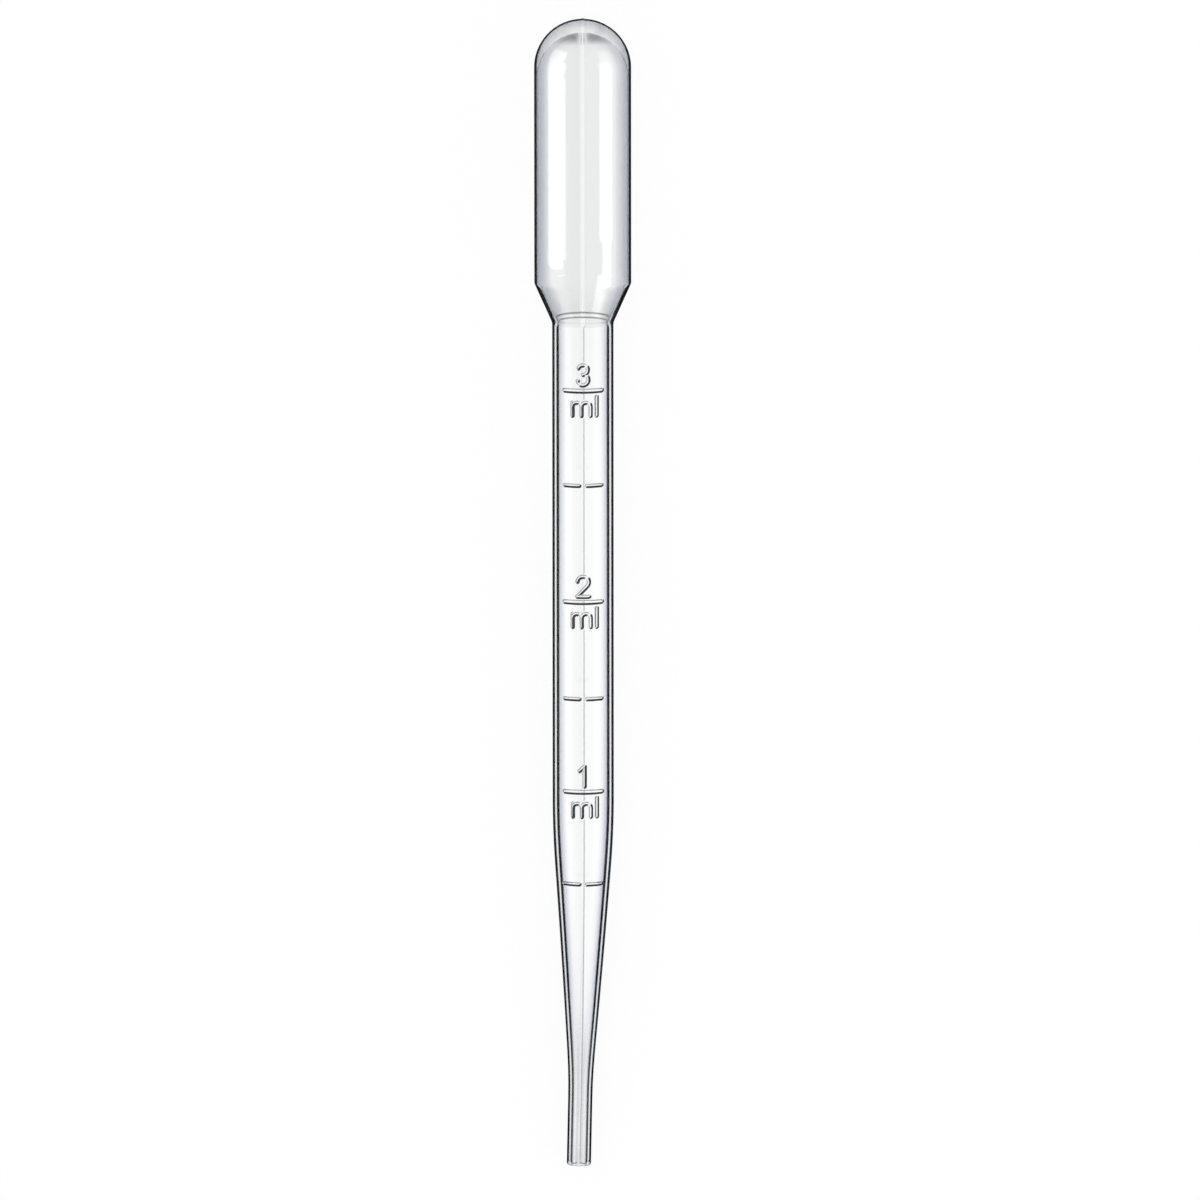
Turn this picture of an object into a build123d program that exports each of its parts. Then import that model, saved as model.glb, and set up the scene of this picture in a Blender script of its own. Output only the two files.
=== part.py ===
"""A one-piece graduated dropper pipette, blow moulded in soft clear plastic (millimetres).

The pipette is first made upright, with its tip at the bottom, its axis on Z and its graduations
facing -Y. It is then laid down as it comes to rest: graduations up, bulb towards +Y, carried by
the shoulder of the bulb and by the lower end of the stem, with the tip just clear of the surface.
"""
from build123d import *
from math import asin, atan2, cos, degrees, hypot, sin, sqrt, tan
import os

# ---- Driving dimensions ----------------------------------------------------------------------
LENGTH = 155.0  # mouth of the tip to the top of the dome

BULB_R, BULB_WALL = 6.45, 0.42
CROWN_WALL = 1.45  # the wall is thickest at the top of the dome
STEM_R, STEM_WALL = 4.08, 0.66
TIP_R, TIP_WALL = 1.62, 0.57

# Heights of the corners of the outer profile, before rounding
SHOULDER_TOP = 119.5  # bulb meets the shoulder cone
SHOULDER_FOOT = 114.2  # shoulder cone meets the stem
TAPER_TOP = 45.4  # stem meets the long taper
TAPER_FOOT = 12.3  # taper meets the tip

# How those corners are rounded
SHOULDER_TOP_ROUND = 0.8
SHOULDER_FOOT_ROUND = 1.6
TAPER_TOP_ROUND = 125.0
TAPER_FOOT_ROUND = 85.0
RIM_EASE = 0.25  # outer edge of the mouth, cut off at 45 degrees

# The lower end has set with a slight bend towards -X
BEND_TOP = 49.0
BEND_R = 1850.0

# The parting line of the mould stands proud as a low flat bead, front and back, over the dome too.
# On the front it gives way to the numerals and to the letters.
BEAD_WIDTH, BEAD_RISE = 0.40, 0.07
BEAD_FOOT = 0.15  # it starts on the eased rim
BEAD_MARGIN = 0.20  # how far it stops short of a stroke

# Graduations and lettering, raised on the front
MARK_RISE = 0.18
MARK_REACH = 2.42  # from the parting line to the middle of a bar's round end
BAR_WIDTH, HALF_BAR_WIDTH = 0.52, 0.42
HALF_BAR_GAP = 0.30  # a half mark stops this far short of the parting line on each side
STROKE = 0.42
MILLILITRE_HEIGHTS = {1: 51.35, 2: 77.05, 3: 105.6}
HALF_HEIGHTS = (38.75, 63.95, 92.8)

# Numerals stand on the bar and the unit hangs below it (heights are from the bar's middle line)
DIGIT_FOOT, DIGIT_TOP = 0.77, 3.48
ONE_X, ONE_FLAG_WIDTH, ONE_FLAG_DROP = 0.17, 0.68, 0.62
TWO_HEAD_R, TWO_HALF_FOOT = 0.76, 0.80
TWO_HEAD_START, TWO_HEAD_SWEEP = 175, -215  # degrees
THREE_UPPER_R = 0.64
THREE_UPPER_START, THREE_LOWER_SWEEP = 160, -260  # degrees
UNIT_FOOT = -3.36
UNIT_M_TOP, UNIT_L_TOP = -1.57, -0.82
UNIT_M_LEFT, UNIT_L_X = -1.40, 1.80
UNIT_ARCH_R = 0.60

TAPER_SPANS = (2, 4, 3)  # ruled stretches of the taper: lower blend, cone, upper blend
CUT_CLEARANCE = 1.0  # how far cutting and masking bodies run past the surface they act on

# ---- Worked-out sizes ------------------------------------------------------------------------
SHOULDER_TURN = atan2(BULB_R - STEM_R, SHOULDER_TOP - SHOULDER_FOOT)
TAPER_TURN = atan2(STEM_R - TIP_R, TAPER_TOP - TAPER_FOOT)
STEM_FOOT = TAPER_TOP + TAPER_TOP_ROUND * tan(TAPER_TURN / 2)
TIP_TOP = TAPER_FOOT - TAPER_FOOT_ROUND * tan(TAPER_TURN / 2)
DOME_FOOT = LENGTH - BULB_R
BORE_DOME_FOOT = LENGTH - CROWN_WALL - (BULB_R - BULB_WALL)
TIP_LEAN = asin((BEND_TOP - TIP_TOP) / BEND_R)


def centre_x(height):
    """How far the bent centreline lies from the stem's axis at a height on the taper."""
    drop = max(BEND_TOP - height, 0)
    return sqrt(BEND_R**2 - drop**2) - BEND_R


MOUTH_X = centre_x(TIP_TOP) - TIP_TOP * tan(TIP_LEAN)


def cross_section(height):
    """The plane square to the bent centreline at a height on the taper."""
    lean = asin(max(BEND_TOP - height, 0) / BEND_R)
    return Plane(origin=(centre_x(height), 0, height), x_dir=(cos(lean), 0, -sin(lean)),
                 z_dir=(sin(lean), 0, cos(lean)))


def taper_radius(height, stem_r, tip_r):
    """Radius of the taper at a height: a cone run into the stem and the tip by large arcs."""
    if height > TAPER_TOP - TAPER_TOP_ROUND * sin(TAPER_TURN) / 2:
        below = max(STEM_FOOT - height, 0)
        return stem_r - TAPER_TOP_ROUND + sqrt(TAPER_TOP_ROUND**2 - below**2)
    if height < TAPER_FOOT + TAPER_FOOT_ROUND * sin(TAPER_TURN) / 2:
        above = max(height - TIP_TOP, 0)
        return tip_r + TAPER_FOOT_ROUND - sqrt(TAPER_FOOT_ROUND**2 - above**2)
    return tip_r + (stem_r - tip_r) * (height - TAPER_FOOT) / (TAPER_TOP - TAPER_FOOT)


def ring_heights():
    """Heights of the rings that the taper is ruled between, even within each of its stretches."""
    ends = (TIP_TOP, 2 * TAPER_FOOT - TIP_TOP, 2 * TAPER_TOP - STEM_FOOT, STEM_FOOT)
    heights = [TIP_TOP]
    for low, high, spans in zip(ends, ends[1:], TAPER_SPANS):
        heights += [low + (high - low) * (i + 1) / spans for i in range(spans)]
    return heights


def shoulder_corners(bulb_r, stem_r):
    """The two corners of the shoulder for a skin inside or outside the outer surface."""
    lift = tan(SHOULDER_TURN / 2)
    return ((bulb_r, SHOULDER_TOP + (BULB_R - bulb_r) * lift),
            (stem_r, SHOULDER_FOOT + (STEM_R - stem_r) * lift))


def skin(bulb_r, stem_r, tip_r, dome_foot=DOME_FOOT, rounded=True):
    """A solid bounded by one skin of the bulb, stem and taper, from the radii of its plain stretches."""
    side_points = [(bulb_r, dome_foot), *shoulder_corners(bulb_r, stem_r), (stem_r, STEM_FOOT)]
    rounds = [SHOULDER_TOP_ROUND, SHOULDER_FOOT_ROUND]
    side = FilletPolyline(*side_points, radius=rounds) if rounded else Polyline(*side_points)
    dome = CenterArc((0, dome_foot), bulb_r, 0, 90)
    closing = Polyline((stem_r, STEM_FOOT), (0, STEM_FOOT), (0, dome_foot + bulb_r))
    upper = revolve(Plane.XZ * make_face(dome + side + closing), Axis.Z)

    rings = [cross_section(h) * Circle(taper_radius(h, stem_r, tip_r)) for h in ring_heights()]
    return upper + loft(rings, ruled=True)


def tip_rod(radius):
    """The straight lower end as a rod on its own leaning axis, with the edge of its mouth eased."""
    length = TIP_TOP / cos(TIP_LEAN)
    outline = Polyline((0, 0), (radius - RIM_EASE, 0), (radius, RIM_EASE), (radius, length),
                       (0, length), (0, 0))
    mouth = Plane(origin=(MOUTH_X, 0, 0), x_dir=(cos(TIP_LEAN), 0, -sin(TIP_LEAN)),
                  z_dir=(sin(TIP_LEAN), 0, cos(TIP_LEAN)))
    return mouth.location * revolve(Plane.XZ * make_face(outline), Axis.Z)


def raised_skin(rise):
    """The whole outer skin, moved outwards."""
    return skin(BULB_R + rise, STEM_R + rise, TIP_R + rise) + tip_rod(TIP_R + rise)


def bore():
    """The hollow inside, from the dome down to the mouth and out past it. Its shoulder is a plain cone."""
    bore_r = TIP_R - TIP_WALL
    drill = extrude(cross_section(TIP_TOP) * Circle(bore_r), -2 * TIP_TOP)
    return skin(BULB_R - BULB_WALL, STEM_R - STEM_WALL, bore_r, BORE_DOME_FOOT, rounded=False) + drill


def side_outline(rise):
    """The pipette's outline seen from the side, moved outwards by a rise, as a face across Y and Z."""
    foot, top = shoulder_corners(BULB_R + rise, STEM_R + rise)[::-1]
    side = FilletPolyline((TIP_R + rise, BEAD_FOOT), (TIP_R + rise, TAPER_FOOT), (STEM_R + rise, TAPER_TOP),
                          foot, top, (BULB_R + rise, DOME_FOOT),
                          radius=[TAPER_FOOT_ROUND, TAPER_TOP_ROUND, SHOULDER_FOOT_ROUND, SHOULDER_TOP_ROUND])
    dome = CenterArc((0, DOME_FOOT), BULB_R + rise, 0, 90)
    closing = Polyline((0, LENGTH + rise), (0, BEAD_FOOT), (TIP_R + rise, BEAD_FOOT))
    half = make_face(side + dome + closing)
    return Plane.YZ * (half + mirror(half, Plane.YZ))


def centre_slab(width):
    """An upright slab of even width that follows the bent centreline, past both ends and both sides."""
    slab_top = LENGTH + CUT_CLEARANCE
    bend_foot = TIP_TOP - CUT_CLEARANCE  # the slab's own corners stay clear of the skin's edges
    middle = (BEND_TOP + bend_foot) / 2

    def edge(side):
        upper = Line((side, slab_top), (side, BEND_TOP))
        bend = ThreePointArc((side, BEND_TOP), (centre_x(middle) + side, middle),
                             (centre_x(bend_foot) + side, bend_foot))
        foot = (MOUTH_X - CUT_CLEARANCE * tan(TIP_LEAN) + side, -CUT_CLEARANCE)
        return upper + bend + Line(bend @ 1, foot)

    left, right = edge(-width / 2), edge(width / 2)
    top = Line((-width / 2, slab_top), (width / 2, slab_top))
    foot = Line(left @ 1, right @ 1)
    return extrude(Plane.XZ * make_face(left + right + top + foot), BULB_R + CUT_CLEARANCE, both=True)


def bead_gap(low, high):
    """A block that takes the bead away from the front of the stem between two heights."""
    depth = STEM_R + CUT_CLEARANCE
    return Pos(0, -depth / 2, (low + high) / 2) * Box(2 * BEAD_WIDTH, depth, high - low)


def parting_bead():
    """The raised outline, kept only in the slab, with gaps on the front for numerals and letters."""
    outline = extrude(side_outline(BEAD_RISE), BULB_R, both=True)
    room = STROKE / 2 + BEAD_MARGIN
    gaps = []
    for height in MILLILITRE_HEIGHTS.values():
        gaps.append(bead_gap(height + UNIT_FOOT - room, height + UNIT_M_TOP + room))
        gaps.append(bead_gap(height + DIGIT_FOOT - room, height + DIGIT_TOP + room))
    return (outline & centre_slab(BEAD_WIDTH)) - gaps


def stroke(path, width=STROKE):
    """A flat stroke of even width along a path, rounded where the path turns a corner."""
    edges = path.edges()
    corners = [first @ 1 for first, then in zip(edges, edges[1:]) if (first % 1 - then % 0).length > 0.01]
    rounds = [Pos(p.X, p.Y) * Circle(width / 2) for p in corners]
    return Sketch() + [trace(edge, width) for edge in edges] + rounds


def bar(left, right, width):
    """A level bar with round ends, centred on the points given along it."""
    return Pos((left + right) / 2, 0) * SlotCenterToCenter(right - left, width)


def digit_one():
    """An upright with a short flag."""
    flag = (ONE_X - ONE_FLAG_WIDTH, DIGIT_TOP - ONE_FLAG_DROP)
    return Polyline(flag, (ONE_X, DIGIT_TOP), (ONE_X, DIGIT_FOOT))


def digit_two():
    """A round head, run by a tangent diagonal into a flat foot."""
    head = CenterArc((0, DIGIT_TOP - TWO_HEAD_R), TWO_HEAD_R, TWO_HEAD_START, TWO_HEAD_SWEEP)
    heel, toe = (-TWO_HALF_FOOT, DIGIT_FOOT), (TWO_HALF_FOOT, DIGIT_FOOT)
    return head + Line(head @ 1, heel) + Line(heel, toe)


def digit_three():
    """Two bowls, the lower one larger, that meet at a short bar."""
    top, foot = 90, -90
    lower_r = (DIGIT_TOP - DIGIT_FOOT) / 2 - THREE_UPPER_R
    upper = CenterArc((0, DIGIT_TOP - THREE_UPPER_R), THREE_UPPER_R, THREE_UPPER_START,
                      foot - THREE_UPPER_START)
    lower = CenterArc((0, DIGIT_FOOT + lower_r), lower_r, top, THREE_LOWER_SWEEP)
    return upper + lower


def unit_letters():
    """The letters m and l, as separate strokes."""
    spring = UNIT_M_TOP - UNIT_ARCH_R
    legs = [UNIT_M_LEFT + i * 2 * UNIT_ARCH_R for i in range(3)]
    strokes = [Line((legs[0], UNIT_M_TOP), (legs[0], UNIT_FOOT))]
    for left, right in zip(legs, legs[1:]):
        arch = CenterArc(((left + right) / 2, spring), UNIT_ARCH_R, 180, -180)
        strokes.append(arch + Line((right, spring), (right, UNIT_FOOT)))
    return strokes + [Line((UNIT_L_X, UNIT_L_TOP), (UNIT_L_X, UNIT_FOOT))]


DIGITS = {1: digit_one, 2: digit_two, 3: digit_three}


def whole_mark(number, height):
    """A full bar with its number above and the unit below."""
    letters = [stroke(path) for path in [DIGITS[number]()] + unit_letters()]
    return Pos(0, height) * (bar(-MARK_REACH, MARK_REACH, BAR_WIDTH) + letters)


def half_mark(height):
    """Two short bars, one each side of the parting line."""
    inner = HALF_BAR_GAP + HALF_BAR_WIDTH / 2
    right = bar(inner, MARK_REACH, HALF_BAR_WIDTH)
    return Pos(centre_x(height), height) * (right + mirror(right, Plane.YZ))


def raised_marks():
    """All graduations and lettering, cut from the front of a skin raised by the marks' height."""
    marks = [whole_mark(n, h) for n, h in MILLILITRE_HEIGHTS.items()]
    marks += [half_mark(h) for h in HALF_HEIGHTS]
    prisms = extrude(Plane.XZ * (Sketch() + marks), STEM_R + CUT_CLEARANCE)
    return raised_skin(MARK_RISE) & prisms


def lay_angle():
    """Angle between the axis and the surface, from the line that touches both resting arcs.

    In the plane of the axis and the back of the pipette, the bead rests on the arc of the
    shoulder's top corner and on the large arc at the top of the taper. For two arcs with
    centres d apart on a line at an angle b to the axis, that line is at b - asin((R2 - R1) / d).
    """
    bulb_r, stem_r = BULB_R + BEAD_RISE, STEM_R + BEAD_RISE
    corner = shoulder_corners(bulb_r, stem_r)[0]
    shoulder = (corner[1] + SHOULDER_TOP_ROUND * tan(SHOULDER_TURN / 2), bulb_r - SHOULDER_TOP_ROUND)
    taper = (STEM_FOOT, stem_r - TAPER_TOP_ROUND)
    along, across = shoulder[0] - taper[0], shoulder[1] - taper[1]
    return atan2(across, along) - asin((TAPER_TOP_ROUND - SHOULDER_TOP_ROUND) / hypot(along, across))


def make_pipette():
    """The whole pipette, upright, as one hollow solid."""
    return raised_skin(0) + parting_bead() + raised_marks() - bore()


def lay_down(shape):
    """Turn the upright pipette onto its back and put the middle of its footprint at the origin."""
    laid = Rot(X=degrees(lay_angle()) - 90) * shape
    box = laid.bounding_box()
    return Pos(-box.center().X, -box.center().Y, -box.min.Z) * laid


if __name__ == "__main__":
    os.makedirs("parts", exist_ok=True)
    pipette = lay_down(make_pipette())
    export_step(pipette, "parts/pipette.step")
    print(f"volume {pipette.volume:.1f} mm3, {len(pipette.solids())} solid, "
          f"laid at {degrees(lay_angle()):.3f} degrees")
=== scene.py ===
"""Dresses a one-piece graduated dropper pipette in soft clear plastic, lying in a plain pale studio.

The pipette is worked out upright, in millimetres: its mouth at height 0, its stem's axis on Z and its
graduations facing -Y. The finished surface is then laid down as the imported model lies, bulb towards
+Y and graduations up, and turned into metres.
"""
import logging
from dataclasses import dataclass, field
from enum import Enum
from math import asin, atan2, cos, hypot, pi, radians, sin, tan

import bpy
import numpy as np
from mathutils import Matrix, Vector


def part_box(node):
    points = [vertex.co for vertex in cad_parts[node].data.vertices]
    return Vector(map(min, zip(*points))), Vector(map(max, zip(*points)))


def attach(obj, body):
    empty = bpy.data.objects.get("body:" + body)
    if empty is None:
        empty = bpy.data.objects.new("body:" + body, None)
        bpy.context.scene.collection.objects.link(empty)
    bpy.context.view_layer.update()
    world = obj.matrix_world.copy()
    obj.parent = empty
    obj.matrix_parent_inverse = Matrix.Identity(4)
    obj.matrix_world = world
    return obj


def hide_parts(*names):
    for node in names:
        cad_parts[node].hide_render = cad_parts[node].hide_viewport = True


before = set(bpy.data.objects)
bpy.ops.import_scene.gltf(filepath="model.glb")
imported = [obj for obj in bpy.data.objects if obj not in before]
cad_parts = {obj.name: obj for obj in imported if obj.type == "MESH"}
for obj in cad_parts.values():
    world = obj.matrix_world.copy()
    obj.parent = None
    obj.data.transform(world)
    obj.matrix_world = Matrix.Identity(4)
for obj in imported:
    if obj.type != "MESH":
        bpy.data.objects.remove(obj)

log = logging.getLogger("pipette")

MM = 0.001
NODE = "pipette"
FAR = 9.0  # a distance beyond every stroke

Array = np.ndarray
Socket = bpy.types.NodeSocket
Pair = tuple[float, float]
Triple = tuple[float, float, float]
Colour = tuple[float, float, float, float]
Profile = tuple[Pair, ...]  # (height above the mouth, value), joined by straight lines


# ---- Small tools ----

def smooth_step(value: Array, low: float, high: float) -> Array:
    """Rise from 0 where the value is low to 1 where it is high, along 3t^2 - 2t^3."""
    t = np.clip((value - low) / (high - low), 0.0, 1.0)
    return t * t * (3 - 2 * t)


def fine_line(away: Array, half: float) -> Array:
    """A soft line's share, by the distance from its middle: 1 there and 0 past its half width."""
    return 1 - smooth_step(away, half * 0.4, half * 1.6)


def arc_off(plain: float, bend: float, away: Array) -> Array:
    """The radius on an arc that leaves a plain stretch, outwards if its bend is positive, else inwards."""
    # The plain radius and the arc's, less the root of (the arc's squared less the distance squared).
    return plain + bend - np.sign(bend) * np.sqrt(bend**2 - np.clip(away, 0, abs(bend))**2)


def read_profile(profile: Profile, height: Array) -> Array:
    """A profile's value at each height."""
    return np.interp(height, *zip(*profile))


def add_object(name: str, data: bpy.types.ID) -> bpy.types.Object:
    """Add an object to the scene.

    Args:
        name: the object's name.
        data: its mesh, lamp or camera.

    Returns:
        The new object.
    """
    made = bpy.data.objects.new(name, data)
    bpy.context.scene.collection.objects.link(made)
    return made


def stations(*stretches: Triple) -> Array:
    """Rising heights, even within each stretch, which gives its start, end and largest step."""
    runs = [np.linspace(a, b, int(np.ceil((b - a) / step)) + 1) for a, b, step in stretches]
    return np.unique(np.round(np.concatenate(runs), 5))


class Graph:
    """Adds nodes to a node tree and links them, so that a finish reads as a formula."""

    def __init__(self, tree: bpy.types.NodeTree) -> None:
        """Empty the tree and keep it."""
        self.tree = tree
        tree.nodes.clear()

    def node(self, kind: str, sockets: dict | None = None, **settings: object) -> bpy.types.Node:
        """Add a node.

        Args:
            kind: the node's type name without the ShaderNode in front.
            sockets: values or links of its inputs, by name or number.
            settings: properties of the node.

        Returns:
            The new node.
        """
        made = self.tree.nodes.new("ShaderNode" + kind)
        for name, value in settings.items():
            setattr(made, name, value)
        for name, value in (sockets or {}).items():
            self.feed(made.inputs[name], value)
        return made

    def feed(self, socket: Socket, value: object) -> None:
        """Link another node's output into a socket, or set the socket to a plain value.

        Args:
            socket: the input to feed.
            value: the output or the plain value.
        """
        if isinstance(value, Socket):
            self.tree.links.new(value, socket)
        else:
            socket.default_value = value

    def math(self, operation: str, *inputs: object) -> Socket:
        """The result of one Math operation on numbers or sockets."""
        return self.node("Math", dict(enumerate(inputs)), operation=operation).outputs[0]

    def rise(self, value: object, low: float, high: float, start: float = 0.0, end: float = 1.0) -> Socket:
        """A smooth step of a value from start, where it is low, to end, where it is high."""
        sockets = {"Value": value, "From Min": low, "From Max": high, "To Min": start, "To Max": end}
        return self.node("MapRange", sockets, interpolation_type="SMOOTHSTEP").outputs["Result"]

    def blend(self, factor: object, first: object, second: object, kind: str = "FLOAT") -> Socket:
        """Mix two numbers, or two RGBA colours: first where factor is 0, second where it is 1."""
        at, result = {"FLOAT": (2, 0), "RGBA": (6, 2)}[kind]
        return self.node("Mix", {0: factor, at: first, at + 1: second}, data_type=kind).outputs[result]

    def read(self, name: str) -> Socket:
        """One of the mesh's own values, by its attribute's name."""
        return self.node("Attribute", attribute_name=name).outputs["Fac"]

    def blend_shader(self, factor: object, first: bpy.types.Node, second: bpy.types.Node) -> bpy.types.Node:
        """Mix two shaders: first where factor is 0, second where it is 1."""
        return self.node("MixShader", {0: factor, 1: first.outputs[0], 2: second.outputs[0]})

    def finish(self, shader: bpy.types.Node, kind: str = "OutputMaterial") -> None:
        """Send a shader to the tree's output."""
        self.node(kind, {"Surface": shader.outputs[0]})


# ---- Strokes of the graduations ----

@dataclass(frozen=True)
class Straight:
    """A straight stroke, by its two ends."""

    start: Pair
    end: Pair

    def distance(self, x: Array, y: Array) -> Array:
        """How far each point is from the stroke's middle line.

        The point's place along the line is clamped to the two ends, so the ends come out round.

        Args:
            x: places across the stem.
            y: places along the stem, of the same shape.

        Returns:
            Distances of the same shape.
        """
        dx, dy = self.end[0] - self.start[0], self.end[1] - self.start[1]
        along = ((x - self.start[0]) * dx + (y - self.start[1]) * dy) / (dx * dx + dy * dy)
        along = np.clip(along, 0.0, 1.0)
        return np.hypot(x - self.start[0] - along * dx, y - self.start[1] - along * dy)


@dataclass(frozen=True)
class Bow:
    """A stroke along an arc of a circle; the angles are in degrees and sweep may be negative."""

    centre: Pair
    radius: float
    start: float
    sweep: float

    def distance(self, x: Array, y: Array) -> Array:
        """How far each point is from the arc.

        The point's angle about the centre is clamped to the arc's half sweep from its middle.

        Args:
            x: places across the stem.
            y: places along the stem, of the same shape.

        Returns:
            Distances of the same shape.
        """
        middle, half = np.radians(self.start + self.sweep / 2), np.radians(abs(self.sweep) / 2)
        across, up = x - self.centre[0], y - self.centre[1]
        turn = (np.arctan2(up, across) - middle + pi) % (2 * pi) - pi
        turn = middle + np.clip(turn, -half, half)
        return np.hypot(across - self.radius * np.cos(turn), up - self.radius * np.sin(turn))

    def end(self) -> Pair:
        """The point at which the arc ends."""
        turn = radians(self.start + self.sweep)
        return self.centre[0] + self.radius * cos(turn), self.centre[1] + self.radius * sin(turn)


class Numeral(Enum):
    """The numerals that stand on the whole-millilitre bars."""

    ONE = 1
    TWO = 2
    THREE = 3


@dataclass(frozen=True)
class Graduations:
    """Bars, numerals and units, raised on the front of the stem as one relief (millimetres).

    Sizes of numerals and letters go by the middle lines of their strokes, up from the bar.
    """

    rise: float = 0.18
    reach: float = 2.42  # from the parting line to the middle of a bar's round end
    bar_half: float = 0.26  # half widths of the strokes
    half_bar_half: float = 0.21
    stroke_half: float = 0.21
    gap: float = 0.30  # from the parting line to a half mark
    flank: float = 0.15  # width of a stroke's sloping side
    margin: float = 0.28  # of fine rings round a mark
    lee: Pair = (0.77, -0.64)  # where the strokes' painted dark shade faces, across and up
    whole: dict[Numeral, float] = field(default_factory=lambda: {
        Numeral.ONE: 51.35, Numeral.TWO: 77.05, Numeral.THREE: 105.6})
    halves: tuple[float, ...] = (38.75, 63.95, 92.8)
    digit_foot: float = 0.77
    digit_top: float = 3.48
    one_x: float = 0.17
    one_flag: Pair = (0.68, 0.62)  # how far the flag reaches out and drops
    two_head: float = 0.76  # radius
    two_sweep: Pair = (175, -215)  # start and sweep of the arc, in degrees
    two_half_foot: float = 0.80
    three_upper: float = 0.64  # radius
    three_sweeps: tuple[Pair, Pair] = ((160, -250), (90, -260))  # the upper and the lower arc
    unit_foot: float = -3.36
    unit_m_top: float = -1.57
    unit_l_top: float = -0.82
    unit_m_left: float = -1.40
    unit_l_x: float = 1.80
    unit_arch: float = 0.60  # radius

    def numeral(self, which: Numeral) -> list[Straight | Bow]:
        """The strokes of one numeral, which stands on its bar.

        Args:
            which: the numeral.

        Returns:
            Its strokes, about the middle of the bar.
        """
        foot, top = self.digit_foot, self.digit_top
        if which is Numeral.ONE:
            tip = (self.one_x, top)
            flag = (self.one_x - self.one_flag[0], top - self.one_flag[1])
            return [Straight(flag, tip), Straight(tip, (self.one_x, foot))]
        if which is Numeral.TWO:
            head = Bow((0.0, top - self.two_head), self.two_head, *self.two_sweep)
            heel, toe = (-self.two_half_foot, foot), (self.two_half_foot, foot)
            return [head, Straight(head.end(), heel), Straight(heel, toe)]
        upper, lower = self.three_upper, (top - foot) / 2 - self.three_upper
        return [Bow((0.0, top - upper), upper, *self.three_sweeps[0]),
                Bow((0.0, foot + lower), lower, *self.three_sweeps[1])]

    def unit(self) -> list[Straight | Bow]:
        """The strokes of the two unit letters, below a bar.

        Returns:
            Their strokes, about the middle of the bar.
        """
        spring = self.unit_m_top - self.unit_arch
        legs = [self.unit_m_left + i * 2 * self.unit_arch for i in range(3)]
        strokes: list[Straight | Bow] = [Straight((legs[0], self.unit_m_top), (legs[0], self.unit_foot))]
        for left, right in zip(legs, legs[1:]):
            strokes.append(Bow(((left + right) / 2, spring), self.unit_arch, 180, -180))
            strokes.append(Straight((right, spring), (right, self.unit_foot)))
        return strokes + [Straight((self.unit_l_x, self.unit_l_top), (self.unit_l_x, self.unit_foot))]

    def crown(self, beyond: Array) -> Array:
        """A stroke's height: level, and falling to nothing as a smooth step that ends at its edge."""
        return self.rise * (1 - smooth_step(beyond, -self.flank, 0.0))

    def lettered(self) -> list[Pair]:
        """The stretches of the stem that carry a numeral or a unit, without the bars."""
        reach = self.stroke_half
        return [(h + foot - reach, h + top + reach) for h in self.whole.values()
                for foot, top in ((self.unit_foot, self.unit_m_top), (self.digit_foot, self.digit_top))]

    def zones(self) -> list[Pair]:
        """The stretches of the stem that carry a mark, lowest first."""
        ends = [(h + self.unit_foot, h + self.digit_top, self.stroke_half) for h in self.whole.values()] + [
            (h, h, self.half_bar_half) for h in self.halves]
        return sorted((low - half - self.margin, high + half + self.margin) for low, high, half in ends)

    def beyond(self, x: Array, height: Array) -> Array:
        """How far each point is beyond the edge of the nearest stroke.

        That is the least, over all strokes, of the distance to the stroke's middle line less half
        of its width, seen square from the front.

        Args:
            x: places across the stem, from the parting line.
            height: heights along the stem, of the same shape.

        Returns:
            Distances of the same shape, less than nothing on a stroke.
        """
        nearest = np.full_like(x, FAR)
        bar = Straight((-self.reach, 0.0), (self.reach, 0.0))
        for which, level in self.whole.items():
            y = height - level
            nearest = np.minimum(nearest, bar.distance(x, y) - self.bar_half)
            for stroke in self.numeral(which) + self.unit():
                nearest = np.minimum(nearest, stroke.distance(x, y) - self.stroke_half)
        half_bar = Straight((self.gap + self.half_bar_half, 0.0), (self.reach, 0.0))
        for level in self.halves:
            away = half_bar.distance(np.abs(x), height - level)
            nearest = np.minimum(nearest, away - self.half_bar_half)
        return nearest

    def lee_share(self, x: Array, height: Array) -> Array:
        """How squarely the side of the nearest stroke faces the lee, which sets its painted shade.

        The way off the stroke is the change of the distance beyond its edge over a small step,
        brought to unit length, and the share is its part along the lee.

        Args:
            x: places across the stem, from the parting line.
            height: heights along the stem, of the same shape.

        Returns:
            Shares of the same shape, from -1 facing away to 1 facing the lee.
        """
        step = 0.03
        across = self.beyond(x + step, height) - self.beyond(x - step, height)
        up = self.beyond(x, height + step) - self.beyond(x, height - step)
        return (across * self.lee[0] + up * self.lee[1]) / np.maximum(np.hypot(across, up), 1e-6)


# ---- The moulded body ----

@dataclass(frozen=True)
class Skin:
    """One skin of the body, outer or inner, by the radii of its plain stretches (millimetres)."""

    bulb: float
    stem: float
    tip: float


@dataclass(frozen=True)
class Places:
    """Points of a skin before any relief, as arrays of one shape (millimetres, radians)."""

    x: Array  # across the pipette
    height: Array  # above the mouth
    turn: Array  # round the axis, 0 at the front

    def front(self) -> Array:
        """Whether each place is on the front, within 60 degrees of its middle."""
        return np.cos(self.turn) > 0.5


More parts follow.
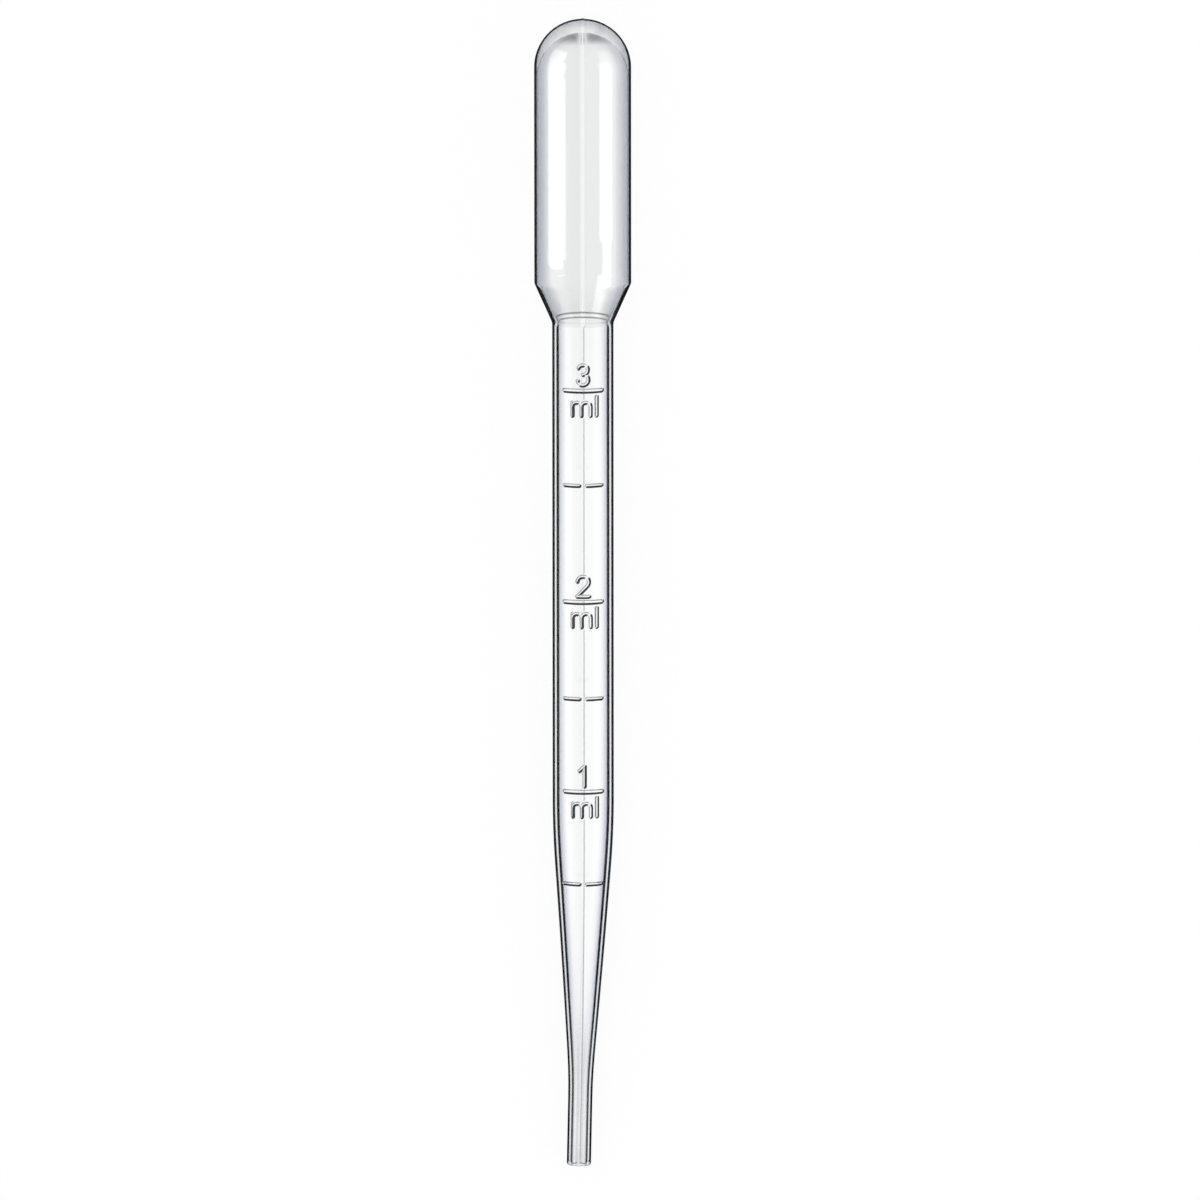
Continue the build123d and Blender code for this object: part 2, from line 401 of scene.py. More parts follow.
@dataclass
class Body:
    """The whole pipette as one closed surface: outer skin, lip of the mouth and bore (millimetres)."""

    length: float = 155.0
    outer: Skin = Skin(6.45, 4.08, 1.62)
    inner: Skin = Skin(6.45 - 0.42, 4.08 - 0.66, 1.62 - 0.57)
    crown_wall: float = 1.45  # thickest, at the top of the dome
    shoulder: Pair = (114.2, 119.5)  # foot and top of the shoulder cone
    taper: Pair = (12.3, 45.4)  # foot and top of the long taper
    shoulder_rounds: Pair = (1.6, 0.8)  # foot, top
    taper_rounds: Pair = (85.0, 125.0)  # foot, top
    bend_top: float = 49.0
    bend_radius: float = 1850.0
    lip_round: float = 0.25
    bore_ease: float = 0.12
    marks: Graduations = field(default_factory=Graduations)

    # The bead of the parting line.
    bead_half: float = 0.15  # to half way down its side
    bead_rise: float = 0.07
    bead_ease: float = 0.20  # width of its sloping side
    bead_margin: float = 0.20  # how far the bead stops short of a numeral or letter
    bulb_bead: Pair = (0.20, 0.28)  # half and ease on the bulb's front
    bulb_bead_run: Pair = (0.0, 1.5)  # where it comes to them, off the shoulder's foot

    # Light that the skins keep back, as shares: the plastic's faint haze and streaks, painted shade, and a
    # painted highlight along the bulb's seam.
    bead_line: Pair = (0.13, 0.07)  # place and half width of the painted shade line beside the bead's crest
    bulb_bead_line: Pair = (0.22, 0.28)  # how much further out it runs on the bulb, and what is left
    bead_shade: Pair = (0.48, 0.20)  # its darkness at the front and the back
    # the bulb's grey: the plastic's faint haze, and painted shade
    bulb_haze_and_shade: float = 0.072
    bulb_foot: Pair = (-0.3, 0.5)  # where the bulb's haze and painted shade set in, off the shoulder's foot
    cone_haze_and_shade: float = 0.055  # more haze and painted shade at the shoulder's foot
    stem_haze_and_shade: float = 0.018  # haze and painted shade just below the shoulder, clearing down the stem
    stem_shade_span: Pair = (92.0, 112.2)
    seam_highlight_band: Triple = (-0.03, 0.30, 0.05)  # place, half width and softness of a painted highlight along the bulb's seam, left clear of haze and shade
    dome_shade: Pair = (0.04, 0.30)  # painted shade at the top of the dome, in the middle and beside it
    dome_shade_sides: Pair = (1.1, 3.4)  # how far off the middle it deepens
    dome_shade_heights: Pair = (5.2, 6.1)  # where it sets in, above the dome's foot
    mouth_shade: float = 0.55  # a painted shade line round the mouth
    mouth_span: Pair = (0.15, 0.7)
    bore_dome_shade: float = 0.58  # painted shade at the top of the bore's dome, but for its middle
    bore_dome_heights: Pair = (0.72, 0.93)  # where it sets in, as shares of the dome's radius
    bore_dome_sides: Pair = (0.15, 1.1)
    ring_heights: Pair = (0.0, 0.57)  # fine painted shade lines round the bore, above the shoulder's foot
    ring_half: float = 0.09
    ring_shade: Pair = (0.10, 0.78)  # their darkness at the front and the back
    ring_turn: Pair = (-0.2, 0.2)  # between the two, as the cosine of the angle off the back
    flutes: int = 10  # painted shade lines for faint flutes round the bore of the tip
    flute_shade: float = 0.11
    flute_span: Pair = (22.0, 13.0)  # where they set in, downwards
    streak_shade: float = 0.045  # faint streaks down the bore
    streaks: tuple[Triple, ...] = (
        (3.0, 0.4, 0.5), (7.0, 1.9, 0.3), (12.0, 0.7, 0.2))  # waves, phase and share of each

    # What else the finish reads: widths and strengths of painted shade, and a painted highlight in the dome.
    edges: Profile = ((9.0, 0.24), (40.0, 0.31), (114.0, 0.31), (115.5, 0.42), (118.5, 0.44),
                      (119.6, 0.36), (148.5, 0.35), (152.5, 0.24))  # width of the painted dark shade along the outline
    bore_edge_shade_widths: Profile = ((9.0, 0.07), (40.0, 0.26), (113.0, 0.26), (116.0, 0.03), (119.5, 0.11),
                           (150.5, 0.11), (152.3, -0.2))  # the same painted shade along the bore's outline
    veil_shades: Profile = ((8.0, 0.35), (25.0, 1.0), (45.0, 1.0), (62.0, 0.55))  # strength of the painted cool shade inside the bore's edge
    wall_fade: Pair = (-0.4, 0.4)  # where the painted dark line at the bore's edge stops, off the shoulder's foot
    cool_shade_profile: Profile = ((113.8, 0.35), (114.6, 1.0))  # share of the painted cool shade at slanting views
    dome_highlight: Pair = (-0.6, 0.75)  # a painted highlight in the dome: place across, and how much less painted cool shade it takes
    dome_highlight_sides: Pair = (1.6, 2.9)  # how far off its middle it ends
    dome_highlight_heights: tuple[Pair, Pair] = ((3.6, 4.4), (5.4, 6.0))  # where it sets in and ends in height

    # How finely the mesh is divided.
    coarse_step: float = 4.0  # on plain stretches; half of it on the taper
    cone_step: float = 0.8
    fine_step: float = 0.068  # on marks
    round_steps: Triple = (0.17, 0.063, 0.12)  # at the shoulder's foot, outside and inside, and its top
    foot_span: Pair = (-0.8, 0.9)  # what counts as the shoulder's foot
    top_span: Pair = (-0.5, 0.4)  # what counts as its top
    clearance: float = 0.15  # least gap between fine and plain rings
    first_ring: float = 0.6  # height of the lowest ring
    relief_span: Pair = (0.0, 1.2)  # where the relief rises from nothing
    dome_rings: int = 34
    lip_rings: int = 7
    front_half: float = 2.78  # half width of the fine front strip
    front_columns: int = 84
    side_columns: int = 24
    hug: tuple[float, ...] = (
        0.0, 0.3, 0.55, 0.8, 1.05, 1.35, 1.9, 3.0, 4.6)  # columns off the middle of the back, in bead_half

    def __post_init__(self) -> None:
        """Work out the profile's turns and where its stretches meet."""
        self.shoulder_turn = atan2(self.outer.bulb - self.outer.stem, self.shoulder[1] - self.shoulder[0])
        self.taper_turn = atan2(self.outer.stem - self.outer.tip, self.taper[1] - self.taper[0])
        self.stem_foot = self.taper[1] + self.taper_rounds[1] * tan(self.taper_turn / 2)
        self.tip_top = self.taper[0] - self.taper_rounds[0] * tan(self.taper_turn / 2)
        self.dome_foot = self.length - self.outer.bulb
        self.bore_dome_foot = self.length - self.crown_wall - self.inner.bulb

    # -- profile --

    def radius(self, skin: Skin, height: Array) -> Array:
        """The skin's radius at each height below the dome.

        Arcs that touch both neighbours join the straight stretches: tip, taper, stem, cone, bulb.

        Args:
            skin: radii of the plain stretches.
            height: heights above the mouth.

        Returns:
            Radii of the same shape.
        """
        foot_round, top_round = self.taper_rounds
        taper_foot, taper_top = self.taper
        taper = skin.tip + (skin.stem - skin.tip) * (height - taper_foot) / (taper_top - taper_foot)
        low_end = taper_foot + (taper_foot - self.tip_top) * cos(self.taper_turn)
        high_start = taper_top - (self.stem_foot - taper_top) * cos(self.taper_turn)
        low_arc = arc_off(skin.tip, foot_round, height - self.tip_top)
        high_arc = arc_off(skin.stem, -top_round, self.stem_foot - height)

        lift = tan(self.shoulder_turn / 2)
        foot = self.shoulder[0] + (self.outer.stem - skin.stem) * lift
        top = self.shoulder[1] + (self.outer.bulb - skin.bulb) * lift
        turn = atan2(skin.bulb - skin.stem, top - foot)
        foot_round, top_round = self.shoulder_rounds
        foot_reach, top_reach = foot_round * tan(turn / 2), top_round * tan(turn / 2)
        cone = skin.stem + (skin.bulb - skin.stem) * (height - foot) / (top - foot)
        foot_arc = arc_off(skin.stem, foot_round, height - (foot - foot_reach))
        top_arc = arc_off(skin.bulb, -top_round, top + top_reach - height)
        return np.select(
            [height <= self.tip_top, height <= low_end, height <= high_start, height <= self.stem_foot,
             height <= foot - foot_reach, height <= foot + foot_reach * cos(turn),
             height <= top - top_reach * cos(turn), height <= top + top_reach],
            [skin.tip, low_arc, taper, high_arc, skin.stem, foot_arc, cone, top_arc], skin.bulb)

    def levels(self, with_marks: bool, end: float) -> Array:
        """Heights of the rings of a skin below its dome.

        Args:
            with_marks: whether the stretches with marks are finely divided.
            end: height of the last ring.

        Returns:
            Rising heights.
        """
        foot_low, foot_high = (self.shoulder[0] + part for part in self.foot_span)
        top_low, top_high = (self.shoulder[1] + part for part in self.top_span)
        plain = stations((self.first_ring, self.tip_top, self.coarse_step),
                         (self.tip_top, self.stem_foot, self.coarse_step / 2),
                         (self.stem_foot, foot_low, self.coarse_step),
                         (foot_high, top_low, self.cone_step), (top_high, end, self.coarse_step))
        skin_step, bore_step, top_step = self.round_steps
        zones = [(foot_low, foot_high, skin_step if with_marks else bore_step), (top_low, top_high, top_step)]
        if with_marks:
            zones += [(low, high, self.fine_step) for low, high in self.marks.zones()]
        clear = np.ones_like(plain, dtype=bool)
        for low, high, _ in zones:
            clear &= (plain < low - self.clearance) | (plain > high + self.clearance)
        fine = [stations(zone) for zone in zones]
        return np.unique(np.concatenate([plain[clear], *fine]))

    def contour(self) -> tuple[Array, Array, Array, Array]:
        """The closed profile, from the bore's pole down to the mouth, round the lip and up to the pole.

        Returns:
            Height, radius, the outward normal's angle (0 outwards, a right angle up the axis) and
            share of the relief of each ring. The two poles are left out.
        """
        bore_levels = self.levels(False, self.bore_dome_foot)[::-1]
        skin_levels = self.levels(True, self.dome_foot)
        up = np.linspace(0, pi / 2, self.dome_rings)[1:-1]
        down, lip = up[::-1], np.linspace(0, pi / 2, self.lip_rings)
        lip_in, lip_out = self.inner.tip + self.bore_ease, self.outer.tip - self.lip_round
        skin = self.radius(self.outer, skin_levels)
        slopes = -np.arctan(np.gradient(skin, skin_levels))
        stretches = [
            (self.bore_dome_foot + self.inner.bulb * np.sin(down), self.inner.bulb * np.cos(down), 0.0, 0.0),
            (bore_levels, self.radius(self.inner, bore_levels), 0.0, 0.0),
            (self.bore_ease * (1 - np.sin(lip)), lip_in - self.bore_ease * np.cos(lip), 0.0, 0.0),
            (self.lip_round * (1 - np.cos(lip)), lip_out + self.lip_round * np.sin(lip), lip - pi / 2, 0.0),
            (skin_levels, skin, slopes, smooth_step(skin_levels, *self.relief_span)),
            (self.dome_foot + self.outer.bulb * np.sin(up), self.outer.bulb * np.cos(up), up, 1.0)]
        runs = (np.broadcast_arrays(*stretch) for stretch in stretches)
        return tuple(np.concatenate(parts) for parts in zip(*runs))

    # -- surface --

    def columns(self, radius: Array) -> Array:
        """Angles of the columns on each ring, 0 at the front.

        The front strip keeps its width in millimetres on the bulb and its angles below the stem's
        radius. A few columns hug the bead at the back, and the sides are divided evenly between.

        Args:
            radius: radius of each ring.

        Returns:
            Angles in radians, one row for each ring, rising through one turn.
        """
        ring = radius[:, None]
        front = np.linspace(-self.front_half, self.front_half, self.front_columns + 1)[None, :]
        front = np.arcsin(front / np.maximum(ring, self.outer.stem))
        hug = self.bead_half * np.array(self.hug)[None, :]
        hug = np.arcsin(hug / np.maximum(ring, self.outer.tip))
        share = np.linspace(0, 1, self.side_columns + 2)[None, 1:-1]
        right = front[:, -1:] + (pi - hug[:, -1:] - front[:, -1:]) * share
        back = pi - hug[:, ::-1]
        return np.concatenate([front, right, back, 2 * pi - back[:, -2::-1], 2 * pi - right[:, ::-1]], axis=1)

    def centre(self, height: Array) -> tuple[Array, Array]:
        """Where the bent centreline runs: an arc below the bend's top, then straight in the tip.

        Args:
            height: heights above the mouth.

        Returns:
            The offset along X and the lean, in radians, at each height.
        """
        drop = np.clip(self.bend_top - height, 0, self.bend_top - self.tip_top)
        lean = np.arcsin(drop / self.bend_radius)
        offset = np.sqrt(self.bend_radius**2 - drop**2) - self.bend_radius
        return offset + np.minimum(height - self.tip_top, 0) * np.tan(lean), lean

    def unlettered(self, at: Places) -> Array:
        """Where the parting line gives way to numerals and letters on the front.

        Args:
            at: the places.

        Returns:
            1 where it runs, falling to 0 beside them.
        """
        share = np.ones(at.height.shape)
        for low, high in self.marks.lettered():
            outside = np.maximum(low - at.height, at.height - high) - self.bead_margin
            clear = smooth_step(outside, -self.bead_ease / 2, self.bead_ease / 2)
            share *= np.where(at.front(), clear, 1.0)
        return share

    def bead(self, at: Places) -> Array:
        """The low bead of the parting line, level with smooth sides.

        It runs down the front and the back, and on the front it gives way to numerals and letters.

        Args:
            at: the places.

        Returns:
            The bead's rise at each.
        """
        fuller = smooth_step(at.height - self.shoulder[0], *self.bulb_bead_run) * at.front()
        half, ease = (plain + (full - plain) * fuller for plain, full in zip(
            (self.bead_half, self.bead_ease), self.bulb_bead))
        share = 1 - smooth_step(np.abs(at.x), half - ease / 2, half + ease / 2)
        return self.bead_rise * share * self.unlettered(at)

    def painted_cool_shade(self, at: Places, outside: Array) -> Array:
        """How much painted cool shade the skin takes at slanting views.

        The outer skin takes less of it on the stem, and everything takes less in the painted highlight in the
        dome.

        Args:
            at: the places.
            outside: 1 on the outer skin and 0 on the bore and the lip.

        Returns:
            Shares from 0 to 1.
        """
        inside = (at.height < self.shoulder[0]) & (outside < 0.5)
        cool = np.where(inside, 1.0, read_profile(self.cool_shade_profile, at.height))
        above = at.height - self.dome_foot
        # The painted highlight in the dome takes less of the cool shade.
        low, high = self.dome_highlight_heights
        place, clearing = self.dome_highlight
        dome_highlight = smooth_step(above, *low) * (1 - smooth_step(above, *high))
        dome_highlight = dome_highlight * (1 - smooth_step(np.abs(at.x - place), *self.dome_highlight_sides))
        return cool * (1 - clearing * dome_highlight)

    def haze_and_painted_shade(self, at: Places) -> Array:
        """How much light the outer skin keeps back where it carries no mark: faint milkiness and painted
        shade.

        The bulb is faintly hazy and greyed by painted shade, but for a painted highlight along its parting
        line, more so down the shoulder and, by painted shade, in the top of its dome, and the stem's
        painted shade clears downwards. Painted shade lines beside the bead's crest and round the mouth are
        darker.

        Args:
            at: the places.

        Returns:
            Shares from 0 for clear to 1 for opaque.
        """
        bulb = smooth_step(at.height - self.shoulder[0], *self.bulb_foot)
        side = np.where(at.front(), at.x, -at.x)
        # A painted highlight: a band along the seam that the haze and the painted shade leave clear.
        place, half, soft = self.seam_highlight_band
        off_seam_highlight = smooth_step(np.abs(side - place), half - soft, half + soft)
        cone = smooth_step(at.height, *self.shoulder)
        stem = self.stem_haze_and_shade * smooth_step(at.height, *self.stem_shade_span)
        haze_and_shade = stem * (1 - bulb) + (self.bulb_haze_and_shade + self.cone_haze_and_shade * (1 - cone)) * bulb * off_seam_highlight
        # Painted shade at the top of the dome.
        middle, beside = self.dome_shade
        dome = middle + (beside - middle) * smooth_step(np.abs(at.x), *self.dome_shade_sides)
        dome = dome * smooth_step(at.height - self.dome_foot, *self.dome_shade_heights) * off_seam_highlight
        # A painted shade line beside the bead's crest, lighter at the back and on the bulb.
        place, half = self.bead_line
        further, left = self.bulb_bead_line
        line = fine_line(np.abs(side - place - further * bulb), half) * self.unlettered(at)
        line *= np.where(at.front(), *self.bead_shade) * (1 - (1 - left) * bulb)
        # A painted shade line round the mouth.
        mouth = self.mouth_shade * (1 - smooth_step(at.height, *self.mouth_span))
        return np.maximum.reduce([haze_and_shade, dome, line, mouth])

    def bore_shade(self, at: Places) -> Array:
        """How much light the skin of the bore keeps back: painted shade, and its own faint streaks.

        Fine painted shade lines run round it at the shoulder's foot. The tip has painted shade for faint
        flutes, by the cosine of the angle round the bore times their number, and faint streaks run down it,
        by a sum of such cosines. Painted shade darkens the top of its dome on both sides of the middle.

        Args:
            at: the places.

        Returns:
            Shares from 0 for clear to 1 for opaque.
        """
        # Painted shade lines for faint flutes round the tip, and the bore's own faint streaks.
        flutes = (0.5 - 0.5 * np.cos(at.turn * self.flutes)) * smooth_step(at.height, *self.flute_span)
        wave = sum(share * np.cos(at.turn * count + phase) for count, phase, share in self.streaks)
        shade = self.flute_shade * flutes + self.streak_shade * smooth_step(wave, 0.0, 1.0)
        # Painted shade at the top of the bore's dome, on both sides of the middle.
        top = (at.height - self.bore_dome_foot) / self.inner.bulb
        off = self.inner.bulb * np.sqrt(np.clip(1 - top**2, 0, 1)) * np.sin(at.turn)
        dome = smooth_step(top, *self.bore_dome_heights) * smooth_step(np.abs(off), *self.bore_dome_sides)
        shade = shade + self.bore_dome_shade * dome
        # Painted shade lines round the bore at the shoulder's foot, darker at the back.
        front, back = self.ring_shade
        depth = front + (back - front) * smooth_step(-np.cos(at.turn), *self.ring_turn)
        for above in self.ring_heights:
            away = np.abs(at.height - self.shoulder[0] - above)
            shade = np.maximum(shade, depth * fine_line(away, self.ring_half))
        return shade

    def surface(self) -> tuple[Array, dict[str, Array]]:
        """The rings of the upright surface, with what the finish reads from each point.

        A point is its ring's centre, plus the radius along the ring's spoke, plus the relief along
        the profile's normal. The relief is the higher of the bead and the marks.

        Returns:
            Points, of shape (rings, columns, 3), and what the finish reads, by name: the share of
            light kept back by faint milkiness, streaks and painted shade, the skin's radius, the wall's
            thickness, the width of the painted dark edge, how strongly the painted line at the bore's edge
            and the painted cool shade beside it show, the share of painted cool shade, the distance beyond
            the nearest stroke, and how squarely its side faces the lee.
        """
        height, radius, normal, carries = self.contour()
        turn = self.columns(radius)
        level = np.broadcast_to(height[:, None], turn.shape)
        at = Places(radius[:, None] * np.sin(turn), level, turn)
        marked = (carries > 0.5)[:, None] & (level < self.shoulder[0]) & at.front()
        beyond, lee = np.full_like(turn, FAR), np.zeros_like(turn)
        beyond[marked] = self.marks.beyond(at.x[marked], level[marked])
        lee[marked] = self.marks.lee_share(at.x[marked], level[marked])
        relief = np.maximum(self.bead(at), self.marks.crown(beyond)) * carries[:, None]

        out = radius[:, None] + relief * np.cos(normal)[:, None]
        up = relief * np.sin(normal)[:, None]
        offset, lean = self.centre(height)
        spoke = out * np.sin(turn)
        points = np.empty(turn.shape + (3,))
        points[..., 0] = offset[:, None] + spoke * np.cos(lean)[:, None] + up * np.sin(lean)[:, None]
        points[..., 1] = -out * np.cos(turn)
        points[..., 2] = level - spoke * np.sin(lean)[:, None] + up * np.cos(lean)[:, None]

        outside = (carries > 0)[:, None].astype(float)
        # Strength of the painted dark line at the bore's edge, and widths of the painted dark outline shade.
        depth = outside * (1 - smooth_step(level - self.shoulder[0], *self.wall_fade))
        inner, outer = self.radius(self.inner, level), self.radius(self.outer, level)
        edges, bore_edge_shade_widths = read_profile(self.edges, level), read_profile(self.bore_edge_shade_widths, level)
        return points, {
            "shade": self.haze_and_painted_shade(at) * outside + self.bore_shade(at) * (1 - outside),
            "skin_radius": np.where(outside > 0, outer, inner), "wall": outer - inner,
            "edge": np.where(outside > 0, edges, bore_edge_shade_widths),
            "wall_depth": depth, "veil": read_profile(self.veil_shades, level) * depth,
            "cool_share": self.painted_cool_shade(at, outside), "beyond": beyond, "lee": lee}

    def lay_angle(self) -> float:
        """Angle between the axis and the surface, from the line that touches both resting arcs.

        Returns:
            The angle in radians.
        """
        bulb, stem = self.outer.bulb + self.bead_rise, self.outer.stem + self.bead_rise
        lift = tan(self.shoulder_turn / 2)
        top_round, taper_round = self.shoulder_rounds[1], self.taper_rounds[1]
        corner = self.shoulder[1] - self.bead_rise * lift
        along = corner + top_round * lift - self.stem_foot
        across = (bulb - top_round) - (stem - taper_round)
        return atan2(across, along) - asin((taper_round - top_round) / hypot(along, across))

    def laid(self, points: Array, low: Vector, high: Vector) -> Array:
        """Turn upright points onto their back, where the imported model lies.

        The turn is about X. The top of the dome meets the box's far side, and the shoulder's
        resting arc meets its floor.

        Args:
            points: upright points in millimetres, of shape (..., 3).
            low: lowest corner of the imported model's box, in metres.
            high: its highest corner.

        Returns:
            Points in metres, of the same shape.
        """
        angle = self.lay_angle()
        corner = self.shoulder[1] + (self.shoulder_rounds[1] - self.bead_rise) * tan(self.shoulder_turn / 2)
        rest = (self.outer.bulb + self.bead_rise - self.shoulder_rounds[1]) * cos(angle)
        rest -= corner * sin(angle) - self.shoulder_rounds[1]
        dome = self.dome_foot * cos(angle) + self.outer.bulb + self.bead_rise
        laid = np.empty_like(points)
        laid[..., 0] = points[..., 0] * MM
        laid[..., 1] = (points[..., 1] * sin(angle) + points[..., 2] * cos(angle) - dome) * MM + high.y
        laid[..., 2] = (points[..., 2] * sin(angle) - points[..., 1] * cos(angle) + rest) * MM + low.z
        return laid

    def build(self) -> bpy.types.Object:
        """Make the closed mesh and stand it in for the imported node.

        Returns:
            The new object.
        """
        points, held = self.surface()
        rings, columns = points.shape[:2]
        poles = np.array([[0, 0, self.length - self.crown_wall], [0, 0, self.length + self.bead_rise]])
        upright = np.concatenate([points.reshape(-1, 3), poles])
        vertices = self.laid(upright, *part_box(NODE))

        here = np.arange(rings * columns).reshape(rings, columns)
        beside = np.roll(here, -1, axis=1)
        quads = np.stack([here[:-1], beside[:-1], beside[1:], here[1:]], axis=-1).reshape(-1, 4)
        bore_pole = np.full(columns, rings * columns)
        first = np.stack([bore_pole, beside[0], here[0]], axis=-1)
        last = np.stack([here[-1], beside[-1], bore_pole + 1], axis=-1)

        mesh = bpy.data.meshes.new("moulded_pipette")
        mesh.from_pydata(vertices.tolist(), [], quads.tolist() + first.tolist() + last.tolist())
        mesh.polygons.foreach_set("use_smooth", np.ones(len(mesh.polygons), dtype=bool))
        for name, values in held.items():
            at_poles = [values[0, 0], values[-1, 0]]
            layer = mesh.attributes.new(name, "FLOAT", "POINT")
            layer.data.foreach_set("value", np.append(values.ravel(), at_poles).astype(np.float32))
        mesh.update()
        return add_object("moulded_pipette", mesh)


# ---- Finishes ----

@dataclass(frozen=True)
class ClearPlastic:
    """Soft clear polyethylene: glossy, with painted cool shade where it is seen at a slant and painted dark
    shade along its outline.

    Each skin lets the root of the base colour through, so the colour is the square of what is let
    through. Of the mesh's values, "shade" is the share that the skin keeps back, by faint milkiness,
    streaks and painted shade, "cool_share" how much painted cool shade it takes at a slant and "edge"
    the width of the painted dark edge along the outline, seen from outside. A second, painted dark
    line, as strong as "wall_depth", runs where the bore's edge shows, "wall" further in, with a
    painted cool shade, "veil", inside it. At the edge of a stroke, which "beyond" counts from, the side
    that faces the lee takes a painted dark shade and the other one a painted grey shade.
    """

    clear: Colour = (0.995, 0.997, 1.0, 1.0)
    # the colour of the painted cool shade at slanting views
    cool: Colour = (0.54, 0.57, 0.64, 1.0)
    # the dark colour that the plastic's faint haze and streaks and the painted shade blend towards
    haze_and_shade_colour: Colour = (0.0005, 0.0008, 0.0013, 1.0)
    cool_shade_span: Pair = (0.22, 0.62)  # where the painted cool shade sets in, by 1 less the cosine of the angle of view
    edge_shade_soft: float = 0.06  # half of the soft side of the painted dark edge
    wall_line: tuple[Pair, Pair] = ((-0.17, -0.09), (0.22, 0.07))  # where the painted dark line runs, as distances inside the bore's edge
    wall_line_shade: float = 0.95
    veil_shade_span: tuple[Pair, Pair] = ((-0.12, -0.04), (1.4, 0.05))  # the same for the painted cool shade beside it
    dark_band: tuple[Pair, Pair] = ((-0.22, -0.18), (0.14, 0.10))  # where a stroke's painted dark shade runs, as distances beyond its edge
    pale_band: tuple[Pair, Pair] = ((-0.10, -0.06), (0.07, 0.03))  # the same for its painted grey shade
    # darkness of the painted shade on a stroke's lee side and on its far side
    dark_side: float = 1.0
    pale_side: float = 0.60
    turned: Pair = (0.05, 0.35)  # how squarely a side faces the lee, or away, to take its painted shade
    roughness: float = 0.012
    index: float = 1.50
    shadow_lightness: float = 0.88

    def strokes(self, graph: Graph) -> Socket:
        """Painted shade on the marks: dark on the sides that face the lee and grey on the far sides.

        Args:
            graph: the material's graph.

        Returns:
            The share kept back.
        """
        lee = graph.read("lee")
        sides = []
        for band, tone, way in ((self.pale_band, self.pale_side, -1), (self.dark_band, self.dark_side, 1)):
            side = graph.rise(lee, way * self.turned[0], way * self.turned[1], 0.0, tone)
            sides.append(graph.math("MULTIPLY", self.band(graph, graph.read("beyond"), band), side))
        return graph.math("MAXIMUM", *sides)

    def band(self, graph: Graph, value: Socket, ends: tuple[Pair, Pair]) -> Socket:
        """1 between two soft ends, each given as the span of the value that it takes, and 0 beyond."""
        return graph.math("MULTIPLY", *(graph.rise(value, *end) for end in ends))

    def inset(self, graph: Graph, facing: Socket) -> Socket:
        """How far inside its outline a point of the skin is seen: radius less radius times the sine.

        Args:
            graph: the material's graph.
            facing: 1 less the cosine of the angle of view.

        Returns:
            The distance in millimetres.
        """
        cosine = graph.math("SUBTRACT", 1.0, facing)
        sine = graph.math("SQRT", graph.math("SUBTRACT", 1.0, graph.math("MULTIPLY", cosine, cosine)))
        return graph.math("MULTIPLY", graph.read("skin_radius"), graph.math("SUBTRACT", 1.0, sine))

    def material(self) -> bpy.types.Material:
        """Make the material.

        Returns:
            The material.
        """
        made = bpy.data.materials.new("clear_plastic")
        made.use_nodes = True
        graph = Graph(made.node_tree)
        facing = graph.node("LayerWeight", {"Blend": 0.5}).outputs["Facing"]
        inset = self.inset(graph, facing)
        # Painted dark shade along the outline, by how far inside it a point is seen; where a skin is hit from
        # its back, none.
        past = graph.rise(graph.math("SUBTRACT", inset, graph.read("edge")), -self.edge_shade_soft, self.edge_shade_soft)
        past = graph.math("MAXIMUM", past, graph.node("NewGeometry").outputs["Backfacing"])
        # A painted dark line where the bore's edge shows, joined with the stored shade and the strokes'
        # painted shade.
        away = graph.math("SUBTRACT", inset, graph.read("wall"))
        line = graph.math("MULTIPLY", self.band(graph, away, self.wall_line), graph.read("wall_depth"))
        shade = graph.math("MAXIMUM", graph.read("shade"), self.strokes(graph))
        shade = graph.math("MAXIMUM", shade, graph.math("MULTIPLY", line, self.wall_line_shade))
        passed = graph.math("MULTIPLY", graph.math("SUBTRACT", 1.0, shade), past)
        kept = graph.math("SUBTRACT", 1.0, graph.math("MULTIPLY", passed, passed))
        # Painted cool shade at slanting views, and inside the bore's edge.
        cool = graph.math("MULTIPLY", graph.rise(facing, *self.cool_shade_span), graph.read("cool_share"))
        veil = graph.math("MULTIPLY", self.band(graph, away, self.veil_shade_span), graph.read("veil"))
        cool = graph.math("MAXIMUM", cool, veil)
        tint = graph.blend(cool, self.clear, self.cool, "RGBA")
        # The base colour: clear or painted cool shade, darkened by the haze, the streaks and the painted
        # shade.
        plastic = graph.node("BsdfPrincipled", {
            "Base Color": graph.blend(kept, tint, self.haze_and_shade_colour, "RGBA"), "Roughness": self.roughness,
            "IOR": self.index, "Transmission Weight": 1.0})
        shadow = graph.node("LightPath").outputs["Is Shadow Ray"]
        light = graph.math("MULTIPLY", shadow, self.shadow_lightness)
        graph.finish(graph.blend_shader(light, plastic, graph.node("BsdfTransparent")))
        return made


@dataclass(frozen=True)
class PaleFloor:
    """A matt white sheet that keeps the soft shadow; clear plastic sees through it."""

    colour: Colour = (0.94, 0.94, 0.94, 1.0)
    glow: float = 0.90  # share of plain white that the camera sees

    def material(self) -> bpy.types.Material:
        """Make the material.

        Returns:
            The material.
        """
        made = bpy.data.materials.new("pale_floor")
        made.use_nodes = True
        graph = Graph(made.node_tree)
        path = graph.node("LightPath")
        seen = graph.math("MULTIPLY", path.outputs["Is Camera Ray"], self.glow)
        matt = graph.node("BsdfDiffuse", {"Color": self.colour})
        lit = graph.blend_shader(seen, matt, graph.node("Emission"))
        passing = graph.math("MAXIMUM", path.outputs["Is Glossy Ray"], path.outputs["Is Transmission Ray"])
        graph.finish(graph.blend_shader(passing, lit, graph.node("BsdfTransparent")))
        return made


# ---- Studio ----

